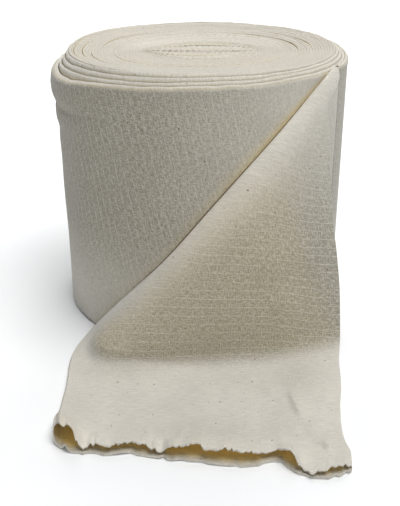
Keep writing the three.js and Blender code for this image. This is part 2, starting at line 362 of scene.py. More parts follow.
def remap(value, low, high, new_low, new_high):
    """Moves a value smoothly from one range to another."""
    smooth = {"interpolation_type": "SMOOTHSTEP"}
    node = add_node("MapRange", smooth, _0=value, _1=low, _2=high, _3=new_low, _4=new_high)
    return node.outputs[0]


print("colours of the cotton:", ", ".join(COTTON))

# %% [markdown]
# ## The elastic threads
# The covered elastic shows as thin raised lines, all round the tube. Modelled as strings they would cost
# very many triangles, so the pattern draws them: the distance along the cloth is folded back and forth,
# and the lines lie at its peaks. A slow noise bends the lines a little, and another lets them fade in
# patches, as they do where the knit lies over them.

# %% Where on the cloth, and the elastic threads
def attribute_parts(name):
    """The three numbers of an attribute that the meshes carry."""
    stored = add_node("Attribute", {"attribute_name": name})
    return add_node("SeparateXYZ", _0=stored.outputs["Vector"]).outputs


# The third number of cloth is how much painted golden light a point gets; the second attribute holds crinkle
# with painted shade, the distance beside the fold and the fold's painted light.
along, across, depth = attribute_parts("cloth")
crinkles_and_painted_shade, beside_the_fold, light_by_fold = attribute_parts("crinkle_shade_and_fold_light")


def cloth_place(along_size, across_size, shift=0.0):
    """The place on the cloth, in steps of this many millimetres along and across it."""
    scaled_along = calculate("MULTIPLY_ADD", along, 1 / (along_size * MM), shift)
    scaled_across = calculate("MULTIPLY", across, 1 / (across_size * MM))
    return add_node("CombineXYZ", _0=scaled_along, _1=scaled_across).outputs[0]


def cloth_noise(along_size, across_size, roughness=0.5, shift=0.0):
    """Noise with humps of this many millimetres along and across the cloth."""
    spot = cloth_place(along_size, across_size, shift)
    flat = {"noise_dimensions": "2D"}
    node = add_node("TexNoise", flat, Vector=spot, Scale=1.0, Detail=2.0, Roughness=roughness)
    return node.outputs["Fac"]


wobble = calculate("MULTIPLY_ADD", cloth_noise(9, 7), 0.0008, -0.0004)
bent_along = calculate("ADD", along, wobble)
to_thread = calculate("PINGPONG", bent_along, RIB_PITCH * MM / 2)
thread = remap(to_thread, RIB_PITCH * MM * 0.39, RIB_PITCH * MM * 0.5, 0.0, 1.0)
patchy = remap(cloth_noise(14, 13, shift=40), 0.3, 0.6, 0.35, 1.0)
thread_shown = calculate("MULTIPLY", thread, patchy)
wale = calculate("SINE", calculate("MULTIPLY", across, 2 * np.pi / (WALE_PITCH * MM)))
print("elastic every", RIB_PITCH, "mm, columns of stitches every", WALE_PITCH, "mm")

# %% [markdown]
# ## Crinkles, flecks and colour
# Between the threads the slack stitches pucker. Two noises, one stretched along the cloth and one
# across, cross each other like yarns, which a single noise doesn't. The same crinkles give the colour
# and the relief, so each hollow is a dent as well, with a greyish painted shade in it. Seed flecks are
# rare, small and sharp, so a pattern of cells scatters them, and only the cells with a high random number
# hold one.

# %% Crinkles, flecks and colour
upright = cloth_noise(0.52, 2.0, roughness=0.6)
level = cloth_noise(1.8, 0.5, roughness=0.6, shift=60)
crinkle = calculate("MULTIPLY_ADD", upright, 0.5, calculate("MULTIPLY", level, 0.5))
pucker = cloth_noise(2.6, 4.2, shift=7)
mottle = cloth_noise(26, 19, shift=90)
streak = cloth_noise(0.65, 4.5, shift=23)

cell_place = cloth_place(FLECK_CELL, FLECK_CELL)
cells = add_node("TexVoronoi", {"voronoi_dimensions": "2D"}, Vector=cell_place, Scale=1.0)
cell_colour = add_node("SeparateColor", _0=cells.outputs["Color"])
chosen = calculate("GREATER_THAN", cell_colour.outputs[0], 0.69)
fleck_size = calculate("MULTIPLY_ADD", cell_colour.outputs[1], 0.036, 0.016)
in_fleck = calculate("LESS_THAN", cells.outputs["Distance"], fleck_size)
fleck = calculate("MULTIPLY", chosen, in_fleck)


def mix_colour(share, first, second):
    """Mixes two colours. Each is the name of a cotton colour or another node's output."""
    colours = [linear(COTTON[c]) if isinstance(c, str) else c for c in (first, second)]
    node = add_node("Mix", {"data_type": "RGBA"}, _0=share, _6=colours[0], _7=colours[1])
    return node.outputs[2]


shade = calculate("MULTIPLY_ADD", mottle, 0.4, calculate("MULTIPLY", streak, 0.6))
ground = mix_colour(remap(shade, 0.36, 0.64, 0.0, 1.0), "shaded", "pale")
# Painted shade: the crinkles' hollows turn greyer, as far as each point's share of crinkle and painted shade
# allows.
hollow_shade = calculate("MULTIPLY", remap(crinkle, 0.3, 0.7, 1.0, 0.44), crinkles_and_painted_shade)
fine = mix_colour(hollow_shade, ground, "hollow_shade")
pale_thread = calculate("MULTIPLY", thread_shown, calculate("MULTIPLY_ADD", crinkles_and_painted_shade, 0.15, 0.05))
lined = mix_colour(pale_thread, fine, "elastic")
flecked = mix_colour(calculate("MULTIPLY", fleck, 0.85), lined, "seed")
# Painted golden light, standing in for light through and between the thin cloth: deep in folds, grooves and
# the mouth, and beside the diagonal fold where it throws light on the roll.
near_fold = remap(beside_the_fold, 0.0, 0.014, 1.0, 0.0)
fold_glow = calculate("MULTIPLY", calculate("MULTIPLY", near_fold, near_fold), light_by_fold)
with_painted_glow = mix_colour(calculate("MAXIMUM", depth, fold_glow), flecked, "lit through")
# A painted shadow: a dark brown line on the roll just outside the fold's edge, only where the fold's painted
# light reaches.
on_lit_side = calculate("MINIMUM", calculate("MULTIPLY", light_by_fold, 8.0), 1.0)
shadow_under_fold = calculate("MULTIPLY", remap(beside_the_fold, 0.0029, 0.004, 1.0, 0.0), on_lit_side)
shaded = mix_colour(calculate("MULTIPLY", shadow_under_fold, 0.75), with_painted_glow, "shadow under the fold")
knit_links.new(shaded, knit_shader.inputs["Base Color"])

height = calculate("MULTIPLY_ADD", thread_shown, 0.1, calculate("MULTIPLY", crinkle, 0.4))
height = calculate("MULTIPLY_ADD", pucker, 0.13, height)
height = calculate("MULTIPLY_ADD", wale, 0.008, height)
relief = add_node("Bump", Height=height, Distance=MM, Strength=1.0)
knit_links.new(relief.outputs[0], knit_shader.inputs["Normal"])
knit_shader.inputs["Roughness"].default_value = 0.93
knit_shader.inputs["Specular IOR Level"].default_value = 0.2
knit_shader.inputs["Sheen Weight"].default_value = 0.3
knit_shader.inputs["Sheen Roughness"].default_value = 0.5
print("knit material has", len(knit_nodes), "nodes")

# %% [markdown]
# ## The wound roll
# The roll is one long flattened tube wound on itself. Each turn is a strip standing on its edge, and its
# top edge is the tube's pressed fold, so it is round. Winding is copied directly: one strip follows a
# spiral from the outside in, thick as one turn. The three outermost turns step down at the front. At the
# left the outer turn is slack, stands off and is pinched. Near the middle the turns are drawn out into a
# flat lens, as they are when a bandage is first folded and then wound. A plain cylinder with a picture
# of rings on it would look flat as soon as the light moved.

# %% Sizes of the roll
ROLL_RADIUS = 68.0
TURN_PITCH = 1.45
ROLL_HEIGHT = 125.0
START_ANGLE = 62.0  # where the outermost turn starts and the loose end goes on
FLAT_WIDTH = 120.0
RIB_SLANT = 14 * RIB_PITCH / (2 * FLAT_WIDTH)  # the elastic spirals round the tube, fourteen ribs a round
FILLED = 0.965  # about the share of a turn's pitch that its strip takes up

EDGES = {
    "angle": [-180, -150, -120, -90, -65, -40, -24, 0, 20, 36, 60, 90, 120, 180],
    "lip": [124.2, 124, 121.4, 118, 117.9, 119, 119.6, 121, 121.2, 121.8, 121.9, 122.4, 123.6, 124.2],
    "rim": [125.8, 125.7, 126.1, 124.8, 124.4, 124.6, 124.8, 125, 125, 125, 125, 125.4, 126, 125.8],
    "slack": [0, 0, 0.3, 1, 0.7, 0.28, 0.12, 0, 0, 0, 0, 0, 0, 0],
    "droop": [0, 0, 0, 0.6, 1.6, 0.2, 0, 0, 0, 0, 0, 0, 0, 0],
}
SLACK_SIDE = {
    "below": [0, 2, 4.7, 7.2, 10.2, 12.5, 15.1, 17, 20, 22.5, 27, 32, 41, 55, 62, 66, 72, 78, 119],
    "bulge": [0.25, 2.3, 3.3, 3.6, 3.4, 2.8, 1.0, 1.8, 2, 1.9, 0.8, 1.0, 0.7, 0.7, 0.7, 0.4, 0.3, 0.1, 0],
}
RISE = {"turn": [0, 1, 1.83, 2.83, 3.4, 4, 60], "share": [0, 0.02, 0.36, 0.7, 0.9, 1, 1]}
DISH = {"radius": [0, 12, 27, 40, 52, 60, 64, 80], "drop": [2.9, 2.85, 2.8, 2.5, 1.5, 0.5, 0, 0]}
ROPES = {"turn": [18.9, 19.2, 20.4, 20.8, 29.6, 30.2, 34], "size": [0, 0.1, 0.1, 0, 0, 0.2, 0.2]}
ROPE_PITCH = {"turn": [18, 29, 30], "length": [3.6, 3.6, 2.75]}
WINDING = {
    "turn": [0, 3, 12, 19.7, 25, 31, 32, 33, 34, 35],
    "wide": [68, 63.65, 51.8, 41.6, 34.8, 26.8, 25.4, 24, 22.6, 21.4],
    "front": [68, 63.65, 49.0, 36.0, 27.5, 17.2, 8.8, 0.7, 0.35, 0.2],
    "back": [68, 63.65, 51.0, 40.5, 31.0, 17.2, 8.8, 0.7, 0.35, 0.2],
}
GROOVES = {
    "turn": [0, 3, 4.5, 7, 28, 30.5, 33],
    "depth": [0.7, 0.6, 0.35, 0.2, 0.18, 0.45, 0.6],
    "filled": [0.97, 0.96, 0.98, 0.985, 0.99, 0.98, 0.98],
    "uneven": [1, 1, 0.7, 0.3, 0.3, 0.8, 0.8],
}
GAPS = {
    "turn": [14, 16, 11, 19, 11, 30, 8, 5],
    "start": [200, 82, 88, 272, 278, 90, 250, 240],
    "end": [264, 170, 150, 440, 322, 450, 300, 310],
    "width": [0.95, 1.0, 0.8, 0.7, 0.6, 0.15, 0.5, 0.4],
}
LAST_TURN = 33.0
LOWEST_SIDE = 0.9  # the strip's bottom edge rounds off below this height
print("turns:", LAST_TURN, "with", len(GAPS["turn"]), "places where they stand apart")

# %% [markdown]
# ## The spiral
# Separate rings would be simpler, but each would close on itself, and in a real roll every turn runs
# on into the next. So the outline in plan is given by how many turns in a place is, together with the
# angle, and the strip follows it inwards without a break. Its height follows the same two numbers.


# %% The spiral the strip follows
def outline(turn, angle):
    """The winding's outline in plan, by how many turns in from the outside and by the angle."""
    side = np.sin(np.radians(angle))
    ahead = np.cos(np.radians(angle))
    wide = np.interp(turn, WINDING["turn"], WINDING["wide"])
    front = np.interp(turn, WINDING["turn"], WINDING["front"])
    back = np.interp(turn, WINDING["turn"], WINDING["back"])
    deep = back + (front - back) * ease(ahead, -0.25, 0.25)
    power = 1 + np.interp(turn, [24, 31], [0, 1]) * ease(-side, -0.2, 0.6)
    full = 0.07 * np.interp(turn, [6, 19, 26], [0, 1, 0])
    swell = 1 + full * np.exp(-(((np.mod(angle + 44 + 180, 360) - 180) / 26) ** 2))
    x = wide * side * swell
    y = -deep * np.sign(ahead) * np.abs(ahead) ** power * swell
    return x, y


def wrapped(angle):
    """The same angle, between -180 and 180 degrees."""
    return np.mod(angle + 180, 360) - 180


def crest_height(turned, angle, radius):
    """Height of the strip's top edge, by degrees wound in from the start."""
    around = wrapped(angle)
    lip = column(EDGES, "angle", "lip", around)
    rim = column(EDGES, "angle", "rim", around)
    edge = lip + (rim - lip) * np.interp(turned / 360, RISE["turn"], RISE["share"])
    level = np.clip(radius / 64, 0, 1) ** 2
    dish = ROLL_HEIGHT + (rim - ROLL_HEIGHT) * level - column(DISH, "radius", "drop", radius)
    return np.where(radius < 63, np.minimum(edge, dish), edge)


def gap_width(turned):
    """How far the strip stands away from the next turn in, in millimetres."""
    total = np.zeros_like(turned)
    for turn, start, end, width in zip(*GAPS.values()):
        share = (turned - 360 * turn - start + START_ANGLE) / (end - start)
        total += width * ease(share, 0, 0.3) * ease(1 - share, 0, 0.3)
    return total


def strip_rings(turned, walls, lip_places, seed):
    """Rings of points round the strip at each station, and their places on the cloth."""
    angle = START_ANGLE + turned
    around = wrapped(angle)
    turn = turned / 360
    middle_x, middle_y = outline(turn + FILLED / 2, angle)
    radius = np.hypot(middle_x, middle_y)
    steps = np.hypot(np.diff(middle_x), np.diff(middle_y))
    run = np.concatenate([[0], np.cumsum(steps)])
    # How high the top edge is, and how it is cut towards the lower turn outside it
    crest = crest_height(turned, angle, radius)
    uneven = np.interp(turn, GROOVES["turn"], GROOVES["uneven"])
    crest = crest + uneven * (wander(seed, run, 3.1, 0.09) + wander(seed + 1, run, 17, 0.12))
    crest = crest - column(EDGES, "angle", "droop", around) * (turn < 1)
    step_down = np.interp(around, EDGES["angle"], np.array(EDGES["rim"]) - np.array(EDGES["lip"]))
    shoulder = 0.35 * np.clip(step_down / 4, 0, 1) * (turn < 1)
    before = crest_height(turned - 360, angle, radius + TURN_PITCH)
    bevel = np.where(turn < 1, 0.7, 0.85 * np.clip(crest - before, 0, 2.4))
    bevel = bevel * np.interp(turn, [4, 5.5], [1, 0])
    # The groove to the next turn, the ropes, the slack and the gaps
    groove = np.interp(turn, GROOVES["turn"], GROOVES["depth"])
    groove = groove * (1 - 0.8 * ease(np.abs(around), 90, 140) * (turn > 1) * (turn < 28))
    open_left = np.exp(-(((around + 45) / 45) ** 2)) * np.interp(turn, [3.6, 4.4], [1, 0])
    groove = groove * (1 + 0.8 * open_left)
    rope_size = np.interp(turn, ROPES["turn"], ROPES["size"])
    rope_length = np.interp(turn, ROPE_PITCH["turn"], ROPE_PITCH["length"])
    slack = column(EDGES, "angle", "slack", around) * np.interp(turn, [1, 1.2, 3.4], [1, 0.6, 0])
    pitch = TURN_PITCH + wander(seed + 2, run, 11, 0.03)
    filled = np.interp(turn, GROOVES["turn"], GROOVES["filled"]) - gap_width(turned) / pitch
    filled = filled - 0.1 * open_left
    loose_here = np.clip(gap_width(turned) / 0.4, 0, 1)
    loose_before = np.clip(gap_width(turned - 360) / 0.4, 0, 1)
    # How much painted golden light a groove gets at least, and how crinkled the top edge is, with its
    # painted shade, less at the back
    least_groove_glow = np.interp(turn, [0, 4, 6, 22, 29.8, 30.2], [0.45, 0.45, 0.5, 0.4, 0.3, 0.55])
    at_back = ease(np.abs(around), 80, 130) * (turn < 28)
    crest_crinkles_and_shade = np.interp(turn, [0, 3, 5], [0.1, 0.1, 0.42]) * (1 - 0.65 * at_back)
    # The outer few turns get more crinkle and painted shade in the grooves between their lips
    outer_few = np.interp(turn, [3.6, 5], [1, 0]) * (1 - 0.7 * ease(np.abs(around), 90, 130))
    rings = []
    cloth = []

    def add(share, below, deep, wall_side, shaded=0.0):
        """Adds the points at a share of the strip's thickness and this far below its top edge."""
        x, y = outline(turn + share * filled, angle)
        if below is None:
            height = 0 * crest
        else:
            rope = rope_size * np.cos(2 * np.pi * (run / rope_length + 0.6 * share))
            height = np.maximum(crest + rope * ease(3 - below, 0, 2) - below, LOWEST_SIDE)
        sag = column(SLACK_SIDE, "below", "bulge", crest - height)
        inner_fade = ease(30 - (crest - height), 0, 24)
        push = slack * np.where(turn < 1, sag, inner_fade)
        if share == 0 and below is not None:
            push = push + shoulder * ease(below, 0.3, 1.2) * (1 - ease(below, 1.4, 5))
        away = np.hypot(x, y) + 1e-6
        x = x + push * x / away
        y = y + push * y / away
        rings.append(np.stack([x, y, height], -1))
        top = crest + share * TURN_PITCH
        arc = np.where(wall_side > 0, 2 * crest + TURN_PITCH - height, height)
        arc = np.where(wall_side == 0, top, arc)
        skewed = START_ANGLE * ROLL_RADIUS * np.pi / 180 + run + RIB_SLANT * arc
        # Crinkle and painted shade: much on the outer turn's upright side, a little less on the walls of the
        # inner turns
        crinkles_and_shade = crest_crinkles_and_shade + np.where(turn < 1, 0.9, -0.1) * ease(crest - height, 0.9, 2.4) + shaded
        blank = 0 * arc
        cloth.append(np.stack([skewed, arc, deep + blank, crinkles_and_shade + blank, blank, blank], -1))

    def groove_glow(below, loose):
        """How much painted golden light a place on a wall gets in a groove: the deeper, the more, and at
        once where the turns stand apart.
        """
        loose = np.maximum(loose, least_groove_glow)
        return (0.6 + 0.3 * outer_few) * ease(below, 1.0 - 0.95 * loose, 3.5 - 2.6 * loose)

    add(0.5, None, 0.0, 0)
    for below in walls:
        level = np.minimum(below, groove * 1.1) if below == walls[-1] else below
        level = np.maximum(level, bevel + groove * 1.1)
        add(0.0, level, groove_glow(level - bevel, loose_before), -1)
    # Over the lip, painted golden light and painted shade grow towards its sides, down in the grooves
    for share in lip_places:
        curve = np.sqrt(1 - (2 * share - 1) ** 2) ** 0.8
        drop = bevel * (1 - share) ** 1.3 + groove * (1 - curve)
        loose = loose_before if share < 0.5 else loose_here
        add(share, drop, (1 - curve) * (0.35 + 0.5 * loose), 0, outer_few * (1 - curve))
    for below in reversed(walls):
        level = np.minimum(below, groove * 1.1) if below == walls[-1] else below
        add(1.0, level, groove_glow(level, loose_here), 1, outer_few * ease(level, 0, 0.8))
    return np.stack(rings, 1), np.stack(cloth, 1)


print("half the roll's width ten turns in, in mm:", round(float(outline(10, 90)[0]), 1))

# %% [markdown]
# ## The turns of the roll
# The outermost turn shows its whole height, so it gets many rows of points and carries the slack and
# the pinch. The turns inside it show little more than their top edges. They get few rows and wide
# steps, and short steps only near the outside and where an edge is twisted like a rope. Fine steps
# everywhere would double the triangles for nothing that shows.

# %% The outermost turn, finely
OUTER_WALLS = [119.5, 112, 104, 96, 88, 80, 72, 64, 56, 48, 42, 37, 33, 30, 27.5, 25, 22.8, 21]
OUTER_WALLS += [19.4, 18.2, 17.2, 16, 14.6, 13, 11, 9, 7, 5, 3.6, 2.6, 1.9, 1.4, 1.0, 0.6]
OUTER_LIP = [0.035, 0.12, 0.28, 0.5, 0.72, 0.88, 0.965]

outer_turned = np.linspace(0, 360, 361)
outer_rings, outer_cloth = strip_rings(outer_turned, OUTER_WALLS, OUTER_LIP, 11)
facing_out = slice(1, 1 + len(OUTER_WALLS))
FOLD_LINE = {
    "height": [0, 20, 41, 72, 90, 107, 114, 120],
    "arc": [-55, -36.2, -16.2, 9.6, 26.8, 46.2, 56.2, 68],
}
outer_arc = np.arctan2(outer_rings[..., 0], -outer_rings[..., 1]) * ROLL_RADIUS
beside_fold = column(FOLD_LINE, "height", "arc", outer_rings[..., 2]) - outer_arc
outer_cloth[..., 4] = beside_fold
# On the outer turn's side no painted golden light from depth; beside the fold a painted glow of the light it
# throws, stronger higher up
outer_cloth[:, facing_out, 2] = 0
thrown_light = np.where(beside_fold > -3, 0.15 + 0.6 * ease(outer_rings[..., 2], 55, 112), 0)
outer_cloth[:, facing_out, 5] = thrown_light[:, facing_out]
# Painted shade on the side: heaviest on the left, away from the lamp, lightest at the front right, and
# lighter towards the foot
side_shade = np.interp(outer_arc, [-80, -20, 25, 60, 70], [1.3, 1.08, 0.7, 0.25, 1.2])
side_shade = side_shade * (1 - 0.6 * ease(60 - outer_rings[..., 2], 0, 52))
outer_cloth[:, facing_out, 3] *= side_shade[:, facing_out]
outer_turn = tube_mesh(outer_rings, outer_cloth, 0)
print("outer turn:", len(outer_turn.vertices), "points")

# %% The turns inside it
INNER_WALLS = [120.0, 9.0, 2.9, 2.0, 1.4, 0.8, 0.4]
INNER_LIP = [0.07, 0.24, 0.5, 0.76, 0.93]
FINE = {
    "turn": [1, 4, 4.2, 19.2, 19.3, 20.7, 20.8, 29.8, 30, 33],
    "step": [1.5, 1.5, 4.6, 4.6, 1.4, 1.4, 4.6, 4.6, 1.9, 1.9],
}

inner_turned = [360.0]
while inner_turned[-1] < 360 * LAST_TURN:
    inner_turned.append(inner_turned[-1] + np.interp(inner_turned[-1] / 360, FINE["turn"], FINE["step"]))
inner_turned = np.array(inner_turned)
inner_rings, inner_cloth = strip_rings(inner_turned, INNER_WALLS, INNER_LIP, 23)
inner_turns = tube_mesh(inner_rings, inner_cloth, 0)
make_piece("wound_cloth", [outer_turn, inner_turns], knit, "wound_roll")

# %% [markdown]
# ## The loose end
# The loose end is the same flattened tube. It lies on the roll at the right, is folded over on the
# diagonal, hangs down the front, bends at the surface and runs forward to its cut mouth. A cloth
# simulation would not put the fold and the curled mouth where the photograph has them, so the cloth is
# laid out line by line: for each place across it, a smooth line runs from the fold to the mouth.

# %% Sizes of the loose end
SHEET_THICKNESS = 2.0  # both plies in the hanging part
TAIL_THICKNESS = 1.0  # both plies pulled tight against the roll
PLY_THICKNESS = 0.75
CLEARANCE = 0.5
FOLD_FOOT = 1.0
FOLD_RADIUS = 1.1
FOLD_TILT = 30.0  # degrees by which the cloth still rises from the roll where it leaves the fold
BEND_LIMIT = 0.7
HANGING_SLANT = 0.04  # the elastic lies nearly level on the side that hangs in front
FLAP = {
    "across": [0, 0.05, 0.1, 0.25, 0.5, 0.75, 0.9, 1],
    "foot_x": [-58.3, -52.3, -45.2, -28, 0, 29, 47.5, 60.4],
    "foot_y": [-73, -73, -83, -83.5, -83, -79, -71, -67],
    "bend": [12, 5, 3, 7, 10, 12, 14, 15],
    "belly": [0, 0.5, 2.2, 2.3, 2.2, 2.6, 2.2, 1.0],
    "ripple": [0, 0, 0, 0, 0, 0.8, 1.6, 0],
}
RIGHT_SIDE = {
    "height": [0, 3, 16, 30, 46, 55, 73, 90, 105, 113, 118, 121],
    "shift": [0.8, 1.6, 1.6, 0.9, -0.9, -2.3, -4.2, -5.4, -6.2, -6.0, -3.6, -0.8],
    "forward": [0, 0, 0, 0, 0, 0.6, 2.0, 3.2, 3.8, 3.4, 1.8, 0.4],
}
RIGHT_FLOOR = {
    "forward": [90, 100, 112, 132, 139, 143, 155],
    "shift": [0, -0.4, -1.6, -1.8, -0.9, 0, 0],
}
LEFT_FLOOR = {"forward": [90, 100, 112, 125, 134, 140], "shift": [0, -0.3, -1.3, -1.4, -0.8, -0.6]}
MOUTH_X = {
    "across": [0, 0.05, 0.1, 0.2, 0.28, 0.64, 0.73, 0.79, 0.86, 0.93, 1],
    "x": [-53.0, -49.6, -45.0, -35.0, -26.4, 12.4, 22.3, 29.1, 37.1, 45.3, 53.0],
}
MOUTH_DEPTHS = [30, 26, 22.5, 19.5, 16.8, 14.4, 12.2, 10.2, 8.4, 6.8, 5.4, 4.2, 3.1, 2.2, 1.4, 0.7, 0.3, 0]
COLUMNS = 180
EDGE_POINTS = 5
EDGE_BULGE = 0.7  # of half the thickness, by which a pressed edge stands out
TAIL_ROWS = 22
FOLD_ROWS = 9
HANG_ROWS = 135
print("places across the loose end:", COLUMNS + 1)

# %% [markdown]
# ## The cut edge
# The cut edge is ragged, so no formula gives its shape. Its corners were read in the enlarged
# photograph, in pixels from the left and from the top, for the lower ply and for the upper one, and a
# few were moved by a tenth of a pixel. A pixel only says in which direction its spot is seen. Where that
# line of sight comes down to the lower ply is the lower edge. The upper edge lies a little behind it,
# the more so the higher it stands, and how high the line of sight is there gives its height. At the
# right end the heights were then raised by the listed amounts.

# %% The cut edge, from the photograph to millimetres
IMAGE_WIDTH = 400
LOWER_EDGE_HEIGHT = 0.6  # millimetres above the surface
LOWER_EDGE = {
    "right": [
        55, 55.5, 57.5, 63, 68, 73, 80, 83.5, 88, 96.5, 103.5, 115.5, 131.5, 137, 147, 155.7, 159.5,
        163.4, 167, 174, 182.5, 188, 201.6, 209, 223, 232, 236, 240.6, 258.5, 265, 274, 281, 286.5, 293,
        298, 304, 312.5, 327.7, 332, 337.5, 343.4, 346, 350,
    ],
    "down": [
        435, 441, 445, 447.5, 451, 452, 452.4, 453.5, 452, 452.4, 454.6, 454, 452, 454.6, 456, 457.4,
        458, 456, 459.3, 460, 459, 460.6, 461, 463.5, 465, 465.4, 464.4, 466.4, 465, 462, 460.6, 461,
        466.4, 471, 473.4, 474.6, 477.5, 478, 475, 476, 471, 472.6, 470,
    ],
}
UPPER_EDGE = {
    "right": [
        55, 60, 65, 69, 71, 74, 75, 77.5, 79.5, 83, 87, 90, 94, 95, 101, 109.5, 117.9, 130, 141, 148,
        150.6, 154, 156, 161, 164.6, 168.5, 174, 180.6, 189, 199.7, 202, 208, 216, 223, 235.5, 247.6,
        260, 263, 271, 277, 289, 293.5, 296.7, 299, 304, 312.5, 319, 326, 330, 339.6, 345, 350,
    ],
    "down": [
        421.9, 425, 427.5, 425.9, 430.2, 436, 440.5, 443, 447, 451, 449, 445, 447, 444, 446, 447.5, 445,
        444, 445.6, 448.5, 451, 448.5, 452, 454.57, 451, 448, 446, 448, 445.6, 444.9, 450, 451, 452, 450.4,
        452, 453.9, 454, 455.5, 453.6, 451.7, 452, 455.5, 462.5, 467.6, 472, 474.3, 473, 473, 471, 468,
        467, 469,
    ],
}
# By how many millimetres the upper edge was raised
RAISED = {"x": [42.2, 44.7, 46.3, 49.9, 52, 54.1], "by": [0, 0.2, 0.9, 0.7, 0.6, 0.5]}
CAMERA_BACK = -CAMERA_PLACE[1] / MM
CAMERA_UP = CAMERA_PLACE[2] / MM


def line_of_sight(right, down):
    """How far sideways, ahead and up the sight of these pixels goes, for each step along it."""
    level = np.radians(90 - CAMERA_TILT)
    aside = (np.array(right) - IMAGE_WIDTH / 2 - CONTENT_RIGHT) / FOCAL_PIXELS
    above = (IMAGE_HEIGHT / 2 - np.array(down)) / FOCAL_PIXELS
    return aside, np.cos(level) + above * np.sin(level), above * np.cos(level) - np.sin(level)


def seen_at_height(right, down, height):
    """Where pixels are seen at a height: how far to the right, and how far in front of the middle."""
    aside, ahead, rise = line_of_sight(right, down)
    steps = (height - CAMERA_UP) / rise
    return steps * aside, CAMERA_BACK - steps * ahead


def seen_at_reach(right, down, reach):
    """Where pixels are seen this far in front of the middle: how far to the right, and how high."""
    aside, ahead, rise = line_of_sight(right, down)
    steps = (CAMERA_BACK - reach) / ahead
    return steps * aside, CAMERA_UP + steps * rise


# A tenth of a millimetre is finer than the eye can read here, so the results are rounded to that
lower_x, lower_reach = np.round(seen_at_height(*LOWER_EDGE.values(), LOWER_EDGE_HEIGHT), 1)
down_to_lower = np.interp(UPPER_EDGE["right"], *LOWER_EDGE.values())
reach_below = seen_at_height(UPPER_EDGE["right"], down_to_lower, LOWER_EDGE_HEIGHT)[1]
rough_height = seen_at_reach(*UPPER_EDGE.values(), reach_below - 0.5)[1]
edge_reach = reach_below - np.clip(0.3 + 0.2 * rough_height, 0.4, 1.8)
upper_x, upper_height = np.round(seen_at_reach(*UPPER_EDGE.values(), edge_reach), 1)
edge_reach = np.round(edge_reach, 1)
upper_height = upper_height + np.interp(upper_x, *RAISED.values())
print("highest place of the upper edge, in mm:", float(upper_height.max()))

# %% [markdown]
# ## The part on the roll and the fold
# The first part of the loose end lies on the roll under the hanging one, and shows only at the fold and
# from the side. The fold runs along a diagonal line that was read from the photograph. Round it the
# cloth turns in nearly half a circle, square to that line, as a folded sheet does.


# %% The part on the roll and the fold
def tail_radius(angle):
    """Radius of the middle of the cloth that lies on the roll."""
    turned = 360 - (START_ANGLE - angle)
    return ROLL_RADIUS - TURN_PITCH * turned / 360 + CLEARANCE + TAIL_THICKNESS / 2


def fold_arc(across):
    """How far round the roll the fold lies, by the place across the cloth."""
    return column(FOLD_LINE, "height", "arc", across * FLAT_WIDTH)


def fold_angle(across):
    """The same as an angle from the front, at the middle of the fold."""
    return np.degrees(fold_arc(across) / (ROLL_RADIUS + FOLD_RADIUS))


def fold_directions(across):
    """Outward from the axis, and square to the fold within the roll's surface."""
    angle = fold_angle(across)
    before = np.maximum(across - 0.01, 0)
    after = np.minimum(across + 0.01, 1)
    run = fold_arc(after) - fold_arc(before)
    rise = (after - before) * FLAT_WIDTH
    upward = np.array([0, 0, 1.0])
    past = polar(1, angle - 90, 0) * rise[:, None] + upward * run[:, None]
    return polar(1, angle, 0), unit(past)


def tail_point(across, share):
    """A point of the middle of the cloth on the roll, from its start to the fold."""
    start = START_ANGLE - 0.05
    angle = start + (fold_angle(across) - start) * share
    return polar(tail_radius(angle), angle, FOLD_FOOT + across * FLAT_WIDTH)


across_columns = np.linspace(0, 1, COLUMNS + 1)
outward, past_fold = fold_directions(across_columns)
fold_start = tail_point(across_columns, 1)
tail_rows = []
for share in np.arange(TAIL_ROWS) / TAIL_ROWS:
    middle = tail_point(across_columns, share)
    inward = -unit(middle * np.array([1, 1, 0]))
    tail_rows.append({"middle": middle, "normal": inward, "half": TAIL_THICKNESS / 2})
fold_rows = []
for share in np.arange(FOLD_ROWS) / FOLD_ROWS:
    turned = np.radians(180 - FOLD_TILT) * share
    normal = -outward * np.cos(turned) + past_fold * np.sin(turned)
    middle = fold_start + (outward + normal) * FOLD_RADIUS
    half = (TAIL_THICKNESS + (SHEET_THICKNESS - TAIL_THICKNESS) * share) / 2
    fold_rows.append({"middle": middle, "normal": normal, "half": half})
print("rows on the roll and round the fold:", len(tail_rows), len(fold_rows))

# %% [markdown]
# ## The hanging part
# From the fold the cloth hangs straight, bends at the surface and runs on to the mouth. Each place
# across it gets one line with those three stretches. The sides are then moved to the edges in the
# photograph, and the cloth is pushed out near the fold and in its belly, where it stands off.


# %% The hanging part
def hanging_line(across):
    """Points of one line from the fold to the mouth: straight, round the bend, and straight."""
    out, past = fold_directions(np.array([across]))
    tilt = np.radians(FOLD_TILT)
    leaving = out[0] * (1 + np.cos(tilt)) + past[0] * np.sin(tilt)
    start = tail_point(np.array([across]), 1)[0] + leaving * FOLD_RADIUS
    foot = np.array([column(FLAP, "across", name, across) for name in ("foot_x", "foot_y")] + [1.0])
    end_x = float(column(MOUTH_X, "across", "x", across))
    reach = np.interp(end_x, lower_x, lower_reach)
    mouth = np.array([end_x, -reach, 1.0])
    down = foot - start
    onward = mouth - foot
    straight = min(np.linalg.norm(down), np.linalg.norm(onward))
    trim = min(float(column(FLAP, "across", "bend", across)), BEND_LIMIT * straight)
    bend_start = foot - unit(down) * trim
    bend_end = foot + unit(onward) * trim
    p = np.linspace(0, 1, 60)[:, None]
    bend = (1 - p) ** 2 * bend_start + 2 * p * (1 - p) * foot + p**2 * bend_end
    upper = start + (bend_start - start) * p
    lower = bend_end + (mouth - bend_end) * p
    return np.concatenate([upper, bend[1:], lower[1:]])


def cloth_normals(middles):
    """The direction in which each point of the cloth faces, away from the roll."""
    return -unit(np.cross(np.gradient(middles, axis=1), np.gradient(middles, axis=0)))


